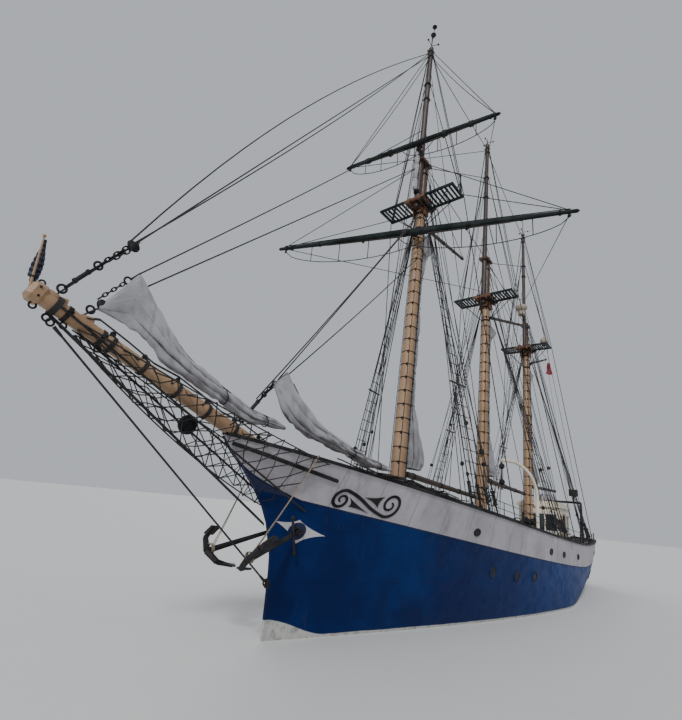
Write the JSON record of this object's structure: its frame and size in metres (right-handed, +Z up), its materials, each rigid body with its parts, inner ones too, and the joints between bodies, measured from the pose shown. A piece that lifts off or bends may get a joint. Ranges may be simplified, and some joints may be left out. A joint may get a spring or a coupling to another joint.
{
  "type": "three-masted topsail schooner",
  "caption": "Steel-hulled three-masted topsail schooner afloat, yards braced, gaff sails brailed and jibs dropped on the bowsprit.",
  "frame": {"origin": "on the waterline amidships, on the centreline", "axes": "+X towards the bow, +Y to port, +Z up"},
  "size_m": [33.5078, 11.4809, 29.5015],
  "materials": {
    "hull_blue": "semi-gloss",
    "band_white": "weathered satin",
    "rail_black": "satin",
    "spar_buff": "satin",
    "spar_dark": "oiled",
    "yard_green": "satin",
    "rigging": "tarred",
    "sailcloth": "matte",
    "teak": "varnished",
    "dark_steel": "satin",
    "bronze": "dull",
    "house_cream": "satin"
  },
  "bodies": {
    "ship": {"hull": "hull_blue", "port_bulwark": "band_white", "starboard_bulwark": "band_white", "port_caprail": "rail_black", "starboard_caprail": "rail_black", "bowsprit": "spar_buff", "bowsprit_cap": "spar_buff", "bowsprit_stays": "rigging", "fore_lower_mast": "spar_buff", "fore_topmast": "spar_dark", "fore_crosstree": "yard_green", "fore_shrouds_port": "rigging", "fore_shrouds_starboard": "rigging", "main_lower_mast": "spar_buff", "main_topmast": "spar_dark", "main_crosstree": "yard_green", "main_shrouds_port": "rigging", "main_shrouds_starboard": "rigging", "mizzen_lower_mast": "spar_buff", "mizzen_topmast": "spar_dark", "mizzen_crosstree": "yard_green", "mizzen_shrouds_port": "rigging", "mizzen_shrouds_starboard": "rigging", "forestay": "rigging", "jib_stay": "rigging", "outer_stay": "rigging", "outer_jib": "sailcloth", "inner_jib": "sailcloth", "foresail": "sailcloth", "mainsail": "sailcloth", "mizzen_sail": "sailcloth", "windlass_frame": "dark_steel", "port_anchor": "dark_steel", "starboard_anchor": "dark_steel", "fore_deckhouse": "house_cream", "aft_deckhouse": "house_cream", "hatch_coaming": "teak", "wheelhouse": "house_cream", "wheelhouse_roof": "house_cream", "steering_pedestal": "teak", "davit_socket": "house_cream", "stern_gantry": "dark_steel", "engine": "dark_steel"},
    "rudder": {"rudder": "hull_blue"},
    "ships_wheel": {"ships_wheel": "teak"},
    "propeller": {"propeller": "bronze"},
    "windlass_drum": {"windlass_drum": "dark_steel"},
    "lower_yard": {"lower_yard": "yard_green"},
    "upper_yard": {"upper_yard": "yard_green"},
    "fore_boom": {"fore_boom": "spar_dark"},
    "main_boom": {"main_boom": "spar_dark"},
    "mizzen_boom": {"mizzen_boom": "spar_dark"},
    "fore_gaff": {"fore_gaff": "spar_dark"},
    "main_gaff": {"main_gaff": "spar_dark"},
    "mizzen_gaff": {"mizzen_gaff": "spar_dark"},
    "davit": {"davit": "house_cream"},
    "wheelhouse_door": {"wheelhouse_door": "teak"},
    "hatch_lid": {"hatch_lid": "teak"}
  },
  "joints": [
    {"name": "rudder_stock", "type": "hinge", "parent": "ship", "child": "rudder", "pos_m": [-12.2, 0, -1], "axis": [0, 0, 1], "range_deg": [-35, 35]},
    {"name": "steering", "type": "hinge", "parent": "ship", "child": "ships_wheel", "pos_m": [-8.75, 0, 2.75], "axis": [1, 0, 0], "range_deg": [-270, 270]},
    {"name": "propeller_shaft", "type": "hinge", "parent": "ship", "child": "propeller", "pos_m": [-11.72, 0, -1.55], "axis": [1, 0, 0], "continuous": true},
    {"name": "windlass_shaft", "type": "hinge", "parent": "ship", "child": "windlass_drum", "pos_m": [10.3, 0, 3.4595], "axis": [0, 1, 0], "continuous": true},
    {"name": "lower_yard_truss", "type": "hinge", "parent": "ship", "child": "lower_yard", "pos_m": [7.3493, 0, 14.14], "axis": [-0.0619, 0, 0.9981], "range_deg": [-48.7, 7.3]},
    {"name": "upper_yard_truss", "type": "hinge", "parent": "ship", "child": "upper_yard", "pos_m": [7.3866, 0, 18.78], "axis": [-0.0619, 0, 0.9981], "range_deg": [-38.9, 21.1]},
    {"name": "fore_boom_gooseneck", "type": "hinge", "parent": "ship", "child": "fore_boom", "pos_m": [7.2153, 0, 4.42], "axis": [-0.0619, 0, 0.9981], "range_deg": [-45, 45]},
    {"name": "main_boom_gooseneck", "type": "hinge", "parent": "ship", "child": "main_boom", "pos_m": [-0.0652, 0, 4.98], "axis": [-0.0649, 0, 0.9979], "range_deg": [-45, 45]},
    {"name": "mizzen_boom_gooseneck", "type": "hinge", "parent": "ship", "child": "mizzen_boom", "pos_m": [-6.7366, 0, 5.3], "axis": [-0.0569, 0, 0.9984], "range_deg": [-45, 45]},
    {"name": "fore_gaff_jaw", "type": "hinge", "parent": "ship", "child": "fore_gaff", "pos_m": [6.62, 0, 15.02], "axis": [-0.0619, 0, 0.9981], "range_deg": [-40, 40]},
    {"name": "main_gaff_jaw", "type": "hinge", "parent": "ship", "child": "main_gaff", "pos_m": [-0.5708, 0, 13.6], "axis": [-0.0649, 0, 0.9979], "range_deg": [-40, 40]},
    {"name": "mizzen_gaff_jaw", "type": "hinge", "parent": "ship", "child": "mizzen_gaff", "pos_m": [-7.1246, 0, 12.95], "axis": [-0.0569, 0, 0.9984], "range_deg": [-40, 40]},
    {"name": "davit_swing", "type": "hinge", "parent": "ship", "child": "davit", "pos_m": [1.3, 2.72, 2.4], "axis": [0, 0, 1], "range_deg": [0, 120]},
    {"name": "door_hinge", "type": "hinge", "parent": "ship", "child": "wheelhouse_door", "pos_m": [-8.75, 1.17, 2.5], "axis": [0, 0, -1], "range_deg": [0, 100]},
    {"name": "hatch_hinge", "type": "hinge", "parent": "ship", "child": "hatch_lid", "pos_m": [2.53, 0, 2.37], "axis": [0, 1, 0], "range_deg": [0, 95]}
  ],
  "couplings": [
    {"joint": "steering", "follows": "rudder_stock", "ratio": 7.7}
  ]
}
